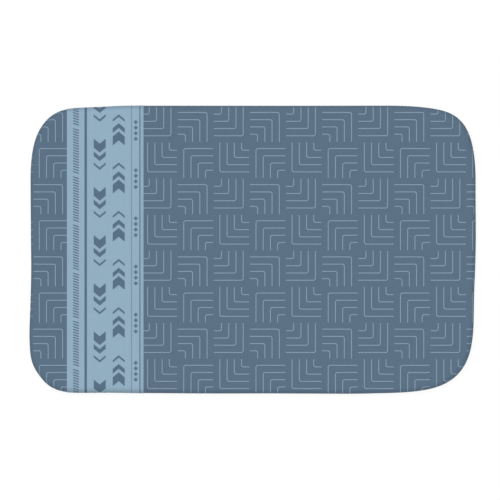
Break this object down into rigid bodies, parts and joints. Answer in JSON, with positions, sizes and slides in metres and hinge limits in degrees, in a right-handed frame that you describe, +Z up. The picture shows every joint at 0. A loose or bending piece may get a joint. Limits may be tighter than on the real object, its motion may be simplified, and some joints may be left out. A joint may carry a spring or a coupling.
{
  "type": "ironing board cover",
  "caption": "Fitted padded ironing cover for a wide rectangular board: rounded corners, heat-proof strip across one end, foam and felt layers, elasticated taped hem turned under.",
  "frame": {"origin": "middle of the cover's plan, on the surface that its hem lies on", "axes": "+X along the cover's length, away from the heat-proof strip; +Y across it, towards the long edge that is uppermost in the picture; +Z up, out of the ironing surface"},
  "size_m": [1, 0.6471, 0.0364],
  "materials": {
    "printed_cotton": "slate blue coated cotton with thin pale nested brackets, soft sheen",
    "heat_proof_strip": "pale blue metallised cloth with slate chevrons and lines",
    "foam": "open-cell cream foam",
    "felt": "off-white needle felt",
    "binding_tape": "slate blue bias tape, plain weave",
    "elastic": "white braided elastic"
  },
  "bodies": {
    "root": {"cover_cloth": "printed_cotton", "iron_rest_band": "heat_proof_strip", "foam_pad": "foam", "felt_pad": "felt", "hem_tape": "binding_tape", "hem_elastic": "elastic"}
  },
  "joints": []
}
